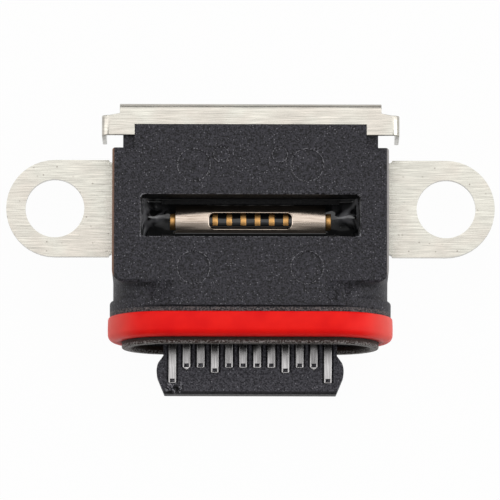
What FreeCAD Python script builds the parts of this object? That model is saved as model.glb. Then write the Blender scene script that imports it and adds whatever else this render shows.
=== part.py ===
import FreeCAD, Part
import math
import os

# A sealed receptacle module for a reversible 24-contact plug, in millimetres.
# X runs across it, +Y is its rear, where it is soldered to a board, and the plug comes in from -Y.
# +Z is up. The origin is midway between the two ear screw holes, on the underside of the ears.

V = FreeCAD.Vector

# Height of the tongue's middle plane above the underside of the ears
TONGUE_Z = 1.20

# Contacts
PITCH = 0.50
CONTACTS_PER_ROW = 12
CONTACT_WIDTH = 0.27
CONTACT_REAR_WIDTH = 0.20
CONTACT_NARROW_FROM_Y = -2.30
CONTACT_THICKNESS = 0.12
CONTACT_PROUD = 0.01
CONTACT_TIP_ROUND = 0.03
LOCK_HOLE_WIDTH = 0.16
LOCK_HOLE_LENGTH = 0.11
LOCK_HOLE_FROM_TIP = 0.045
POINTED_LOCK_HOLE_FROM_TIP = 0.14

# Where the contacts end at the front. The ground pair is at the ends, the pointed pair beside it
GROUND_PAIR = (1, 12)
POINTED_PAIR = (2, 11)
POWER_PAIR = (4, 9)
GROUND_TIP_Y = -6.43
POWER_TIP_Y = -6.06
POINTED_TIP_Y = -5.98
SIGNAL_TIP_Y = -5.88

# Upper row: its hump under the window, its dip behind it, its run over the lower row and its foot
HUMP_FRONT_Y = -1.30
HUMP_TOP = 1.02
HUMP_R = 0.30
DIP_FRONT_Y = -0.30
DIP_REAR_Y = 0.20
DIP_LEVEL = 0.62
RUN_FRONT_Y = 0.50
RUN_LEVEL = 1.54
FOOT_Y = 2.84
FOOT_REAR_Y = 3.12
UPPER_BEND_R = 0.12

# Lower row: its rise behind the block and its pins, which stand in two staggered lines
LOWER_RISE_Y = 1.20
LOWER_RUN_LEVEL = 1.10
PIN_YS = (2.42, 2.02)
PIN_BOTTOM = -0.30
LOWER_BEND_R = 0.14

# Tongue
TONGUE_THICKNESS = 0.70
TONGUE_TIP_Y = -6.81
TONGUE_NECK_HALF = 3.07
TONGUE_WIDEST_HALF = 3.31
TONGUE_TIP_HALF = 3.03
TONGUE_WIDEST_Y = -5.99
LATCH_SHOULDER_Y = -5.44
LATCH_SLOPE_END = (3.255, -5.70)
FLANK_START = (3.275, -6.22)
TONGUE_BASE_FRONT_Y = -2.50
TONGUE_BASE_HALF = 3.40
TONGUE_TIP_CHAMFER = 0.05
CHANNEL_WIDTH = 0.065
CHANNEL_DEPTH = 0.07

# Housing: a block at the rear, an oval neck, a flange behind the seal and an oval collar
BLOCK_HALF_WIDTH = 4.88
BLOCK_REAR_Y = 1.74
BLOCK_FRONT_Y = -3.05
BLOCK_TOP = 2.15
BLOCK_BOTTOM = -1.98
BLOCK_FRONT_CORNER_R = 0.45
BLOCK_REAR_CORNER_R = 0.10
BLOCK_EDGE_CHAMFER = 0.08
NECK_HALF_WIDTH = 4.86
NECK_FRONT_Y = -3.86
NECK_OVERLAP = 0.50
GROOVE_FRONT_Y = -3.92
GROOVE_HALF_WIDTH = 5.02
GROOVE_HALF_HEIGHT = 1.99
FLANGE_HALF_WIDTH = 4.98
FLANGE_HALF_HEIGHT = 2.08
FLANGE_REAR_Y = -3.50
FLANGE_REAR_ROUND = 0.11
SEAL_REAR_Y = -4.07
SEAL_FRONT_Y = -4.93
COLLAR_HALF_WIDTH = 4.55
COLLAR_HALF_HEIGHT = 1.66
COLLAR_FRONT_Y = -5.16
COLLAR_EDGE_ROUND = 0.06

# The mouth that the plug's shell goes into
MOUTH_HALF_WIDTH = 4.18
MOUTH_HALF_HEIGHT = 1.28
MOUTH_BACK_Y = -1.65
MOUTH_LEAD_IN = 0.10

# Seal
SEAL_HALF_WIDTH = 5.05
SEAL_HALF_HEIGHT = 2.16
SEAL_FRONT_ROUND = 0.25
SEAL_REAR_ROUND = 0.09

# Rear of the housing: a shelf that stands on the circuit board, with a raised middle
BOARD_TOP = 0.85
BOARD_GAP = 0.02
SHELF_HALF_WIDTH = 4.50
SHELF_REAR_Y = 2.74
RAISED_HALF_WIDTH = 4.09
RAISED_REAR_Y = 2.56

# Sealing slot in the top of the block
SLOT_HALF_WIDTH = 3.88
SLOT_REAR_Y = 0.08
SLOT_FRONT_Y = -1.43
SLOT_FLOOR = 0.52
SLOT_CORNER_R = 0.18
SLOT_EDGE_CHAMFER = 0.03
SLOT_FLARE = 0.98 * SLOT_EDGE_CHAMFER

# Ejector-pin marks: places across and along, and how deep the pins pressed
EJECTOR_DEPTH = 0.03
LARGE_EJECTOR_R = 0.60
LARGE_EJECTOR_X = 2.00
LARGE_EJECTOR_YS = (1.12, -2.53)
SMALL_EJECTOR_R = 0.31
SMALL_EJECTOR_X = 1.03
SMALL_EJECTOR_Y = 1.49

# Insulators inside the housing
CARRIER_HALF_WIDTH = 3.15
CARRIER_HALF_HEIGHT = 0.85
CARRIER_REAR_Y = SHELF_REAR_Y
CARRIER_TOP = 1.75
ROW_SPLIT = 1.34
LOWER_RISE_FRONT_Y = 0.95
LOWER_RISE_REAR_Y = 1.45
WELL_FRONT_Y = -1.20
WELL_REAR_Y = -0.10
UPPER_RISE_Y = 0.20

# Steel plates of the tongue
MID_PLATE_THICKNESS = 0.15
MID_PLATE_TIP_Y = -6.60
MID_PLATE_HALF = 2.85
MID_PLATE_CORNER_R = 0.20
LATCH_PLATE_YS = (-5.40, -4.55)
SHIELD_THICKNESS = 0.10
SHIELD_FRONT_Y = -2.45
SHIELD_MOUTH_REAR_Y = -1.70
SHIELD_MOUTH_HALF = 3.30
SHIELD_HALF_WIDTH = 2.65
SHIELD_REAR_Y = -0.18
SHIELD_ARCH_FRONT_Y = -1.22
SHIELD_ARCH_CENTRE_Y = -0.70
SHIELD_ARCH_CORNER_RISE = 0.27
SHIELD_ARCH_R = 0.75
SHIELD_FOOT_R = 0.20
WINDOW_HALF_WIDTH = 1.467
WINDOW_CENTRE_Y = -0.73
WINDOW_HALF_LENGTH = 0.29
WINDOW_CORNER_R = 0.18

# Sealing compound in the slot. It climbs the two ends, further out at the front than at the rear,
# and it webs the contacts together under the window
SEALANT_TOP = 0.70
MENISCUS_TOP = 1.70
MENISCUS_REAR_REACH = 0.40
MENISCUS_FRONT_REACH = 0.95
MENISCUS_BOW = 0.22
WEB_HALF_WIDTH = 1.60
WEB_THICKNESS = 0.08

# Bracket: a folded strip whose ears take the screws
BRACKET_THICKNESS = 0.30
BRACKET_WALL_OUTSIDE = 4.73
BRACKET_BEND_INSIDE_R = 0.15
EAR_HALF_LENGTH = 1.735
EAR_HOLE_X = 6.965
EAR_HOLE_R = 1.05
RELIEF_R = 0.09
RELIEF_X = 4.95
BASE_FRONT_Y = -2.85
BASE_HALF_WIDTH = BRACKET_WALL_OUTSIDE - BRACKET_THICKNESS - BRACKET_BEND_INSIDE_R
BASE_CORNER_R = 0.30

# Rear cover: a thin folded sheet over the solder tails
COVER_THICKNESS = 0.15
COVER_REAR_Y = 3.32
COVER_MIDDLE_FRONT_Y = 2.56
COVER_WING_FRONT_Y = 2.18
COVER_WING_REAR_Y = 2.89
COVER_WING_ROOT_Y = 2.96
COVER_LIP_HALF = 4.62
COVER_HALF_WIDTH = 5.255
COVER_FLANGE_BOTTOM = 1.00
COVER_FLANGE_BEND_R = 0.12
COVER_LEG_BEND_R = 0.12
COVER_LEG_BOTTOM = -0.30
COVER_LEG_CHAMFER = 0.15
COVER_BEND_OVERLAP = 0.10

# Small distances for picking edges and for cutting clear of a face
NEAR = 0.01
CLEAR = 1.00


def box(x0, x1, y0, y1, z0, z1):
    """A box between two corners, with heights counted from the tongue's middle plane."""
    return Part.makeBox(x1 - x0, y1 - y0, z1 - z0, V(x0, y0, z0 + TONGUE_Z))


def in_side_view(y, z):
    """A point of a section that is seen from the side."""
    return V(0, y, z + TONGUE_Z)


def in_front_view(x, z):
    """A point of a section that is seen from the front."""
    return V(x, 0, z + TONGUE_Z)


def in_top_view(x, y):
    """A point of an outline that is seen from above."""
    return V(x, y, TONGUE_Z)


def polygon_face(points):
    """A flat face with straight sides."""
    return Part.Face(Part.makePolygon(points + points[:1]))


def across(face, half_width):
    """A side-view section made solid, evenly to both sides of the middle."""
    moved = face.copy()
    moved.translate(V(-half_width, 0, 0))
    return moved.extrude(V(2 * half_width, 0, 0))


def edges_where(shape, test):
    """The edges whose box and direction pass a test."""
    return [edge for edge in shape.Edges if test(edge.BoundBox)]


def stadium_face(half_width, half_height, y):
    """An oval with half-round ends, seen from the front at one depth."""
    straight = half_width - half_height
    left, right = V(-straight, y, TONGUE_Z), V(straight, y, TONGUE_Z)
    up, out = V(0, 0, half_height), V(half_height, 0, 0)
    edges = [
        Part.LineSegment(left + up, right + up).toShape(),
        Part.Arc(right + up, right + out, right - up).toShape(),
        Part.LineSegment(right - up, left - up).toShape(),
        Part.Arc(left - up, left - out, left + up).toShape(),
    ]
    return Part.Face(Part.Wire(edges))


def stadium(half_width, half_height, y_front, y_rear):
    """A prism with an oval section, along Y."""
    return stadium_face(half_width, half_height, y_front).extrude(V(0, y_rear - y_front, 0))


def rounded_slab(half_width, y_front, y_rear, z0, z1, radius):
    """A slab with rounded upright corners."""
    slab = box(-half_width, half_width, y_front, y_rear, z0, z1)
    return slab.makeFillet(radius, edges_where(slab, lambda b: b.ZLength > (z1 - z0) * 0.9))


def centre_line_runs(points, radii):
    """The straight runs and corner arcs of a centre line, as (point, normal) pairs."""
    runs, start = [], points[0]
    for before, corner, after, radius in zip(points, points[1:], points[2:], radii):
        a = math.atan2(corner[1] - before[1], corner[0] - before[0])
        b = math.atan2(after[1] - corner[1], after[0] - corner[0])
        turn = math.remainder(b - a, 2 * math.pi)
        side = math.copysign(1, turn)
        reach = radius * math.tan(abs(turn) / 2)
        begin = (corner[0] - reach * math.cos(a), corner[1] - reach * math.sin(a))
        centre = (begin[0] - side * radius * math.sin(a), begin[1] + side * radius * math.cos(a))
        arc = []
        for angle in (a, a + turn / 2, a + turn):
            normal = (-math.sin(angle), math.cos(angle))
            out = (centre[0] - side * radius * normal[0], centre[1] - side * radius * normal[1])
            arc.append((out, normal))
        runs.append([(start, arc[0][1]), arc[0]])
        runs.append(arc)
        start = arc[2][0]
    last = math.atan2(points[-1][1] - points[-2][1], points[-1][0] - points[-2][0])
    normal = (-math.sin(last), math.cos(last))
    runs.append([(start, normal), (points[-1], normal)])
    return runs


def beside(spot, offset, place):
    """The place at a distance to one side of a spot on a centre line."""
    (along, up), (normal_along, normal_up) = spot
    return place(along + offset * normal_along, up + offset * normal_up)


def bent_strip(points, radii, thickness, place):
    """The section of a strip that is bent along a centre line with rounded corners."""
    runs = centre_line_runs(points, radii)
    half = thickness / 2
    edges = []
    for run in runs:
        for offset in (half, -half):
            spots = [beside(spot, offset, place) for spot in run]
            curve = Part.Arc(*spots) if len(spots) == 3 else Part.LineSegment(*spots)
            edges.append(curve.toShape())
    for end in (runs[0][0], runs[-1][-1]):
        edges.append(Part.LineSegment(beside(end, half, place), beside(end, -half, place)).toShape())
    return Part.Face(Part.Wire(Part.__sortEdges__(edges)))


def contact_x(index):
    """The place across of a contact, where 1 is the leftmost."""
    return (index - (CONTACTS_PER_ROW + 1) / 2) * PITCH


def contact_tip_y(index):
    """Where a contact ends at the front, as its place in the row asks."""
    if index in GROUND_PAIR:
        return GROUND_TIP_Y
    if index in POWER_PAIR:
        return POWER_TIP_Y
    if index in POINTED_PAIR:
        return POINTED_TIP_Y
    return SIGNAL_TIP_Y


def tip_taper(index):
    """How far a contact's tip is narrowed: to a point, or only at its corners."""
    return CONTACT_WIDTH / 2 if index in POINTED_PAIR else CONTACT_TIP_ROUND


def contact_level():
    """Height of a contact's centre line where it lies bare on the tongue."""
    return TONGUE_THICKNESS / 2 + CONTACT_PROUD - CONTACT_THICKNESS / 2


def shaped_contact(index, points, radii):
    """A contact along its centre line: narrowed at its tip and in the housing, with a hole that locks it."""
    contact = across(bent_strip(points, radii, CONTACT_THICKNESS, in_side_view), CONTACT_WIDTH / 2)
    tip_y, taper = contact_tip_y(index), tip_taper(index)
    to_hole = POINTED_LOCK_HOLE_FROM_TIP if index in POINTED_PAIR else LOCK_HOLE_FROM_TIP
    hole_y, half_hole = tip_y + to_hole, LOCK_HOLE_WIDTH / 2
    hole = box(-half_hole, half_hole, hole_y, hole_y + LOCK_HOLE_LENGTH, -TONGUE_THICKNESS, TONGUE_THICKNESS)
    contact = contact.cut(hole)
    for side in (-1, 1):
        edge_x = side * CONTACT_WIDTH / 2
        corner = [(edge_x, tip_y), (edge_x - side * taper, tip_y), (edge_x, tip_y + taper)]
        wedge = polygon_face([in_top_view(*p) for p in corner])
        wedge.translate(V(0, 0, -TONGUE_THICKNESS))
        contact = contact.cut(wedge.extrude(V(0, 0, 2 * TONGUE_THICKNESS)))
        x0, x1 = sorted((side * CONTACT_REAR_WIDTH / 2, side * CONTACT_WIDTH))
        trimmed = box(x0, x1, CONTACT_NARROW_FROM_Y, COVER_REAR_Y, BLOCK_BOTTOM, BLOCK_TOP)
        contact = contact.cut(trimmed)
    contact.translate(V(contact_x(index), 0, 0))
    return contact


def upper_contact_line(index):
    """The centre line of an upper contact, and the radii of its bends."""
    level = contact_level()
    foot = BOARD_TOP + CONTACT_THICKNESS / 2
    points = [
        (contact_tip_y(index), level),
        (HUMP_FRONT_Y, level),
        (WINDOW_CENTRE_Y, HUMP_TOP),
        (DIP_FRONT_Y, DIP_LEVEL),
        (DIP_REAR_Y, DIP_LEVEL),
        (RUN_FRONT_Y, RUN_LEVEL),
        (FOOT_Y, RUN_LEVEL),
        (FOOT_Y, foot),
        (FOOT_REAR_Y, foot),
    ]
    radii = [UPPER_BEND_R] * (len(points) - 2)
    radii[1] = HUMP_R
    return points, radii


def upper_contact(index):
    """A contact of the upper row."""
    return shaped_contact(index, *upper_contact_line(index))


def lower_contact(index):
    """From the underside of the tongue to the rear, up behind the block, and down as a pin."""
    level = -contact_level()
    pin_y = PIN_YS[index % 2]
    points = [
        (contact_tip_y(index), level),
        (LOWER_RISE_Y, level),
        (LOWER_RISE_Y, LOWER_RUN_LEVEL),
        (pin_y, LOWER_RUN_LEVEL),
        (pin_y, PIN_BOTTOM),
    ]
    return shaped_contact(index, points, [LOWER_BEND_R] * (len(points) - 2))


def mid_plate():
    """The steel plate between the rows. Its edges lie bare where the plug's latches hold."""
    half = MID_PLATE_THICKNESS / 2
    plate = rounded_slab(
        MID_PLATE_HALF, MID_PLATE_TIP_Y, LOWER_RISE_FRONT_Y, -half, half, MID_PLATE_CORNER_R
    )
    latches = box(-TONGUE_NECK_HALF, TONGUE_NECK_HALF, *LATCH_PLATE_YS, -half, half)
    return plate.fuse(latches).removeSplitter()


def shield_blank(low):
    """The wide flat of a shield plate in the mouth, above a height."""
    half = SHIELD_MOUTH_HALF
    return box(-half, half, SHIELD_FRONT_Y, SHIELD_MOUTH_REAR_Y, low, low + SHIELD_THICKNESS)


def window_cutter():
    """A window with rounded corners, cut straight down."""
    return rounded_slab(
        WINDOW_HALF_WIDTH,
        WINDOW_CENTRE_Y - WINDOW_HALF_LENGTH,
        WINDOW_CENTRE_Y + WINDOW_HALF_LENGTH,
        SLOT_FLOOR,
        BLOCK_TOP,
        WINDOW_CORNER_R,
    )


def upper_shield_plate():
    """The plate over the tongue's root, which arches over the contacts in the slot."""
    level = CARRIER_HALF_HEIGHT + SHIELD_THICKNESS / 2
    points = [
        (SHIELD_FRONT_Y, level),
        (SHIELD_ARCH_FRONT_Y, level),
        (SHIELD_ARCH_CENTRE_Y, level + SHIELD_ARCH_CORNER_RISE),
        (SHIELD_REAR_Y, level),
    ]
    section = bent_strip(points, [SHIELD_FOOT_R, SHIELD_ARCH_R], SHIELD_THICKNESS, in_side_view)
    plate = across(section, SHIELD_HALF_WIDTH).fuse(shield_blank(CARRIER_HALF_HEIGHT))
    return plate.cut(window_cutter()).removeSplitter()


def lower_shield_plate():
    """The flat plate under the tongue's root."""
    low, half = -CARRIER_HALF_HEIGHT - SHIELD_THICKNESS, SHIELD_HALF_WIDTH
    tail = box(-half, half, SHIELD_MOUTH_REAR_Y, SHIELD_REAR_Y, low, -CARRIER_HALF_HEIGHT)
    return shield_blank(low).fuse(tail).removeSplitter()


def tongue_outline():
    """The tongue from above: its neck, the bulge before the latches, and its straight tip."""
    right = [(TONGUE_NECK_HALF, TONGUE_BASE_FRONT_Y), (TONGUE_NECK_HALF, LATCH_SHOULDER_Y)]
    bulge = [LATCH_SLOPE_END, (TONGUE_WIDEST_HALF, TONGUE_WIDEST_Y), FLANK_START]
    edges = []
    for side in (1, -1):
        root, neck = [in_top_view(side * x, y) for x, y in right]
        shoulder, widest, flank = [in_top_view(side * x, y) for x, y in bulge]
        tip = in_top_view(side * TONGUE_TIP_HALF, TONGUE_TIP_Y)
        edges.append(Part.LineSegment(root, neck).toShape())
        edges.append(Part.LineSegment(neck, shoulder).toShape())
        edges.append(Part.Arc(shoulder, widest, flank).toShape())
        edges.append(Part.LineSegment(flank, tip).toShape())
    for y, half in ((TONGUE_TIP_Y, TONGUE_TIP_HALF), (TONGUE_BASE_FRONT_Y, TONGUE_NECK_HALF)):
        edges.append(Part.LineSegment(in_top_view(-half, y), in_top_view(half, y)).toShape())
    return Part.Face(Part.Wire(Part.__sortEdges__(edges)))


def contact_channels():
    """The shallow gaps that stand open beside the contacts, on both faces of the tongue."""
    reach, half = CONTACT_WIDTH / 2 + CHANNEL_WIDTH, TONGUE_THICKNESS / 2
    channels = []
    for index in range(1, CONTACTS_PER_ROW + 1):
        x, front_y = contact_x(index), contact_tip_y(index) + tip_taper(index)
        for face in (half, -half):
            low, high = face - CHANNEL_DEPTH, face + CHANNEL_DEPTH
            channels.append(box(x - reach, x + reach, front_y, TONGUE_BASE_FRONT_Y, low, high))
    return channels


def tongue_body(inside):
    """The moulded tongue and its thick root, cut where contacts and plates lie in it."""
    blade = tongue_outline()
    blade.translate(V(0, 0, -TONGUE_THICKNESS / 2))
    blade = blade.extrude(V(0, 0, TONGUE_THICKNESS))
    tip_edges = edges_where(blade, lambda b: b.YMax < TONGUE_TIP_Y + NEAR and b.XLength > TONGUE_TIP_HALF)
    blade = blade.makeChamfer(TONGUE_TIP_CHAMFER, tip_edges)
    for channel in contact_channels():
        blade = blade.cut(channel)
    root = box(
        -TONGUE_BASE_HALF,
        TONGUE_BASE_HALF,
        TONGUE_BASE_FRONT_Y,
        MOUTH_BACK_Y,
        -CARRIER_HALF_HEIGHT,
        CARRIER_HALF_HEIGHT,
    )
    return blade.fuse(root).cut(inside).removeSplitter()


def upper_carrier_block():
    """The insulator of the upper row, with a well under the slot."""
    split = MID_PLATE_THICKNESS / 2
    profile = [
        (MOUTH_BACK_Y, split),
        (MOUTH_BACK_Y, CARRIER_HALF_HEIGHT),
        (WELL_FRONT_Y, CARRIER_HALF_HEIGHT),
        (WELL_FRONT_Y, SLOT_FLOOR),
        (WELL_REAR_Y, SLOT_FLOOR),
        (WELL_REAR_Y, CARRIER_HALF_HEIGHT),
        (UPPER_RISE_Y, CARRIER_HALF_HEIGHT),
        (UPPER_RISE_Y, CARRIER_TOP),
        (CARRIER_REAR_Y, CARRIER_TOP),
        (CARRIER_REAR_Y, ROW_SPLIT),
        (LOWER_RISE_FRONT_Y, ROW_SPLIT),
        (LOWER_RISE_FRONT_Y, split),
    ]
    return across(polygon_face([in_side_view(*p) for p in profile]), CARRIER_HALF_WIDTH)


def lower_carrier_block():
    """The insulator of the lower row, which rises behind the upper one and stands over the board."""
    split = MID_PLATE_THICKNESS / 2
    shelf = BOARD_TOP + BOARD_GAP
    profile = [
        (MOUTH_BACK_Y, -CARRIER_HALF_HEIGHT),
        (LOWER_RISE_REAR_Y, -CARRIER_HALF_HEIGHT),
        (LOWER_RISE_REAR_Y, shelf),
        (CARRIER_REAR_Y, shelf),
        (CARRIER_REAR_Y, ROW_SPLIT),
        (LOWER_RISE_FRONT_Y, ROW_SPLIT),
        (LOWER_RISE_FRONT_Y, -split),
        (MOUTH_BACK_Y, -split),
    ]
    return across(polygon_face([in_side_view(*p) for p in profile]), CARRIER_HALF_WIDTH)


def mid_plate_room():
    """The gap between the two insulators beside the plate, filled by the housing's plastic."""
    split = MID_PLATE_THICKNESS / 2
    return box(-MID_PLATE_HALF, MID_PLATE_HALF, MOUTH_BACK_Y, LOWER_RISE_FRONT_Y, -split, split)


def mounting_bracket():
    """The folded strip: a base under the block, two walls in its sides and two ears with holes."""
    half = BRACKET_THICKNESS / 2
    wall_x = BRACKET_WALL_OUTSIDE - half
    ear_z = half - TONGUE_Z
    base_z = BLOCK_BOTTOM - half
    end_x = EAR_HOLE_X + EAR_HALF_LENGTH
    points = [(-end_x, ear_z), (-wall_x, ear_z), (-wall_x, base_z)]
    points += [(-x, z) for x, z in reversed(points)]
    bend = BRACKET_BEND_INSIDE_R + half
    section = bent_strip(points, [bend] * 4, BRACKET_THICKNESS, in_front_view)
    section.translate(V(0, -EAR_HALF_LENGTH, 0))
    strip = section.extrude(V(0, 2 * EAR_HALF_LENGTH, 0))
    bottom = BLOCK_BOTTOM - BRACKET_THICKNESS
    depth = BLOCK_TOP - bottom
    outline = box(-EAR_HOLE_X, EAR_HOLE_X, -EAR_HALF_LENGTH, EAR_HALF_LENGTH, bottom, BLOCK_TOP)
    for side in (-1, 1):
        centre = V(side * EAR_HOLE_X, 0, bottom + TONGUE_Z)
        outline = outline.fuse(Part.makeCylinder(EAR_HALF_LENGTH, depth, centre))
    base = rounded_slab(BASE_HALF_WIDTH, BASE_FRONT_Y, 0, bottom, BLOCK_BOTTOM, BASE_CORNER_R)
    bracket = strip.common(outline).fuse(base)
    for side in (-1, 1):
        hole_at = V(side * EAR_HOLE_X, 0, bottom + TONGUE_Z)
        bracket = bracket.cut(Part.makeCylinder(EAR_HOLE_R, depth, hole_at))
        for y in (-EAR_HALF_LENGTH, EAR_HALF_LENGTH):
            relief_at = V(side * RELIEF_X, y, ear_z)
            bracket = bracket.cut(Part.makeCylinder(RELIEF_R, depth, relief_at))
    return bracket.removeSplitter()


def rear_cover():
    """The folded cover: a flat with two wings, a flange down its rear and a leg down each end."""
    half = COVER_THICKNESS / 2
    level = BLOCK_TOP - half
    flange_bend = COVER_FLANGE_BEND_R + half
    leg_bend = COVER_LEG_BEND_R + half
    flat_rear = COVER_REAR_Y - half - flange_bend
    flat_half = COVER_HALF_WIDTH - half - leg_bend
    right = [
        (RAISED_HALF_WIDTH, COVER_MIDDLE_FRONT_Y),
        (RAISED_HALF_WIDTH, COVER_WING_FRONT_Y),
        (flat_half, COVER_WING_FRONT_Y),
        (flat_half, COVER_WING_REAR_Y),
        (COVER_LIP_HALF, COVER_WING_ROOT_Y),
        (COVER_LIP_HALF, flat_rear),
    ]
    outline = [in_top_view(x, y) for x, y in right] + [in_top_view(-x, y) for x, y in reversed(right)]
    flat = polygon_face(outline)
    flat.translate(V(0, 0, BLOCK_TOP - COVER_THICKNESS))
    cover = flat.extrude(V(0, 0, COVER_THICKNESS))
    flange_y = COVER_REAR_Y - half
    flange = bent_strip(
        [(flat_rear - COVER_BEND_OVERLAP, level), (flange_y, level), (flange_y, COVER_FLANGE_BOTTOM)],
        [flange_bend],
        COVER_THICKNESS,
        in_side_view,
    )
    cover = cover.fuse(across(flange, COVER_LIP_HALF))
    for side in (-1, 1):
        leg_x = side * (COVER_HALF_WIDTH - half)
        leg = bent_strip(
            [(side * (flat_half - COVER_BEND_OVERLAP), level), (leg_x, level), (leg_x, COVER_LEG_BOTTOM)],
            [leg_bend],
            COVER_THICKNESS,
            in_front_view,
        )
        leg.translate(V(0, COVER_WING_FRONT_Y, 0))
        leg = leg.extrude(V(0, COVER_WING_REAR_Y - COVER_WING_FRONT_Y, 0))
        bottom = COVER_LEG_BOTTOM + TONGUE_Z + NEAR
        ends = edges_where(leg, lambda b: b.ZMax < bottom and b.XLength > COVER_THICKNESS - NEAR)
        cover = cover.fuse(leg.makeChamfer(COVER_LEG_CHAMFER, ends))
    return cover.removeSplitter()


def seal_ring():
    """The silicone ring round the collar, against the flange."""
    ring = stadium(SEAL_HALF_WIDTH, SEAL_HALF_HEIGHT, SEAL_FRONT_Y, SEAL_REAR_Y)
    front = edges_where(ring, lambda b: b.YMax < SEAL_FRONT_Y + NEAR)
    ring = ring.makeFillet(SEAL_FRONT_ROUND, front)
    rear = edges_where(ring, lambda b: b.YMin > SEAL_REAR_Y - NEAR)
    ring = ring.makeFillet(SEAL_REAR_ROUND, rear)
    return ring.cut(stadium(COLLAR_HALF_WIDTH, COLLAR_HALF_HEIGHT, SEAL_FRONT_Y, SEAL_REAR_Y))


def slot_cutter():
    """The sealing slot, with a small chamfer round its mouth."""
    cutter = rounded_slab(SLOT_HALF_WIDTH, SLOT_FRONT_Y, SLOT_REAR_Y, SLOT_FLOOR, BLOCK_TOP, SLOT_CORNER_R)
    flare = rounded_slab(
        SLOT_HALF_WIDTH + SLOT_EDGE_CHAMFER,
        SLOT_FRONT_Y - SLOT_EDGE_CHAMFER,
        SLOT_REAR_Y + SLOT_EDGE_CHAMFER,
        BLOCK_TOP - SLOT_EDGE_CHAMFER,
        BLOCK_TOP + SLOT_EDGE_CHAMFER,
        SLOT_CORNER_R + SLOT_EDGE_CHAMFER,
    )
    low = edges_where(flare, lambda b: b.ZMax < BLOCK_TOP + TONGUE_Z)
    return cutter.fuse(flare.makeChamfer(SLOT_FLARE, low))


def ejector_marks():
    """The shallow round marks that the mould's ejector pins left in the top."""
    marks = []
    places = [(x, y, LARGE_EJECTOR_R) for x in (-LARGE_EJECTOR_X, LARGE_EJECTOR_X) for y in LARGE_EJECTOR_YS]
    places += [(x, SMALL_EJECTOR_Y, SMALL_EJECTOR_R) for x in (-SMALL_EJECTOR_X, SMALL_EJECTOR_X)]
    for x, y, radius in places:
        at = V(x, y, BLOCK_TOP - EJECTOR_DEPTH + TONGUE_Z)
        marks.append(Part.makeCylinder(radius, 2 * EJECTOR_DEPTH, at))
    return Part.makeCompound(marks)


def housing_block():
    """The rear block, with rounded upright corners and chamfered long edges."""
    block = box(-BLOCK_HALF_WIDTH, BLOCK_HALF_WIDTH, BLOCK_FRONT_Y, BLOCK_REAR_Y, BLOCK_BOTTOM, BLOCK_TOP)
    upright = BLOCK_TOP - BLOCK_BOTTOM - NEAR
    front = edges_where(block, lambda b: b.ZLength > upright and b.YMax < 0)
    block = block.makeFillet(BLOCK_FRONT_CORNER_R, front)
    rear = edges_where(block, lambda b: b.ZLength > upright and b.YMin > 0)
    block = block.makeFillet(BLOCK_REAR_CORNER_R, rear)
    sides = edges_where(block, lambda b: b.YLength > EAR_HALF_LENGTH and b.ZLength < NEAR)
    return block.makeChamfer(BLOCK_EDGE_CHAMFER, sides)


def housing_outside():
    """The whole outer form of the moulding, before its hollows are cut."""
    neck = stadium(NECK_HALF_WIDTH, BLOCK_TOP, NECK_FRONT_Y, BLOCK_FRONT_Y + NECK_OVERLAP)
    flange = stadium(FLANGE_HALF_WIDTH, FLANGE_HALF_HEIGHT, SEAL_REAR_Y, FLANGE_REAR_Y)
    rear_rim = edges_where(flange, lambda b: b.YMin > FLANGE_REAR_Y - NEAR)
    flange = flange.makeFillet(FLANGE_REAR_ROUND, rear_rim)
    collar = stadium(COLLAR_HALF_WIDTH, COLLAR_HALF_HEIGHT, COLLAR_FRONT_Y, SEAL_REAR_Y)
    collar_rim = edges_where(collar, lambda b: b.YMax < COLLAR_FRONT_Y + NEAR)
    collar = collar.makeFillet(COLLAR_EDGE_ROUND, collar_rim)
    shelf_bottom = BOARD_TOP + BOARD_GAP
    shelf_top = BLOCK_TOP - COVER_THICKNESS
    shelf = box(-SHELF_HALF_WIDTH, SHELF_HALF_WIDTH, 0, SHELF_REAR_Y, shelf_bottom, shelf_top)
    raised = box(-RAISED_HALF_WIDTH, RAISED_HALF_WIDTH, 0, RAISED_REAR_Y, shelf_bottom, BLOCK_TOP)
    whole = housing_block()
    for piece in (neck, flange, collar, shelf, raised):
        whole = whole.fuse(piece)
    return whole.removeSplitter()


def flange_groove():
    """The narrow groove between neck and flange, which runs out at the two ends."""
    around = stadium(FLANGE_HALF_WIDTH + CLEAR, BLOCK_TOP + CLEAR, GROOVE_FRONT_Y, NECK_FRONT_Y)
    return around.cut(stadium(GROOVE_HALF_WIDTH, GROOVE_HALF_HEIGHT, GROOVE_FRONT_Y, NECK_FRONT_Y))


def mouth_cutter():
    """The oval mouth with its lead-in."""
    mouth = stadium(MOUTH_HALF_WIDTH, MOUTH_HALF_HEIGHT, COLLAR_FRONT_Y, MOUTH_BACK_Y)
    wide_half, wide_height = MOUTH_HALF_WIDTH + MOUTH_LEAD_IN, MOUTH_HALF_HEIGHT + MOUTH_LEAD_IN
    wide = stadium_face(wide_half, wide_height, COLLAR_FRONT_Y)
    narrow = stadium_face(MOUTH_HALF_WIDTH, MOUTH_HALF_HEIGHT, COLLAR_FRONT_Y + 2 * MOUTH_LEAD_IN)
    return mouth.fuse(Part.makeLoft([wide.OuterWire, narrow.OuterWire], True))


def bracket_pockets():
    """The flats in the block's sides that the bracket's walls lie in."""
    inner = BRACKET_WALL_OUTSIDE - BRACKET_THICKNESS
    top = BRACKET_THICKNESS - TONGUE_Z
    outer = BLOCK_HALF_WIDTH + CLEAR
    left = box(-outer, -inner, -EAR_HALF_LENGTH, EAR_HALF_LENGTH, BLOCK_BOTTOM, top)
    right = box(inner, outer, -EAR_HALF_LENGTH, EAR_HALF_LENGTH, BLOCK_BOTTOM, top)
    return left.fuse(right)


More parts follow.
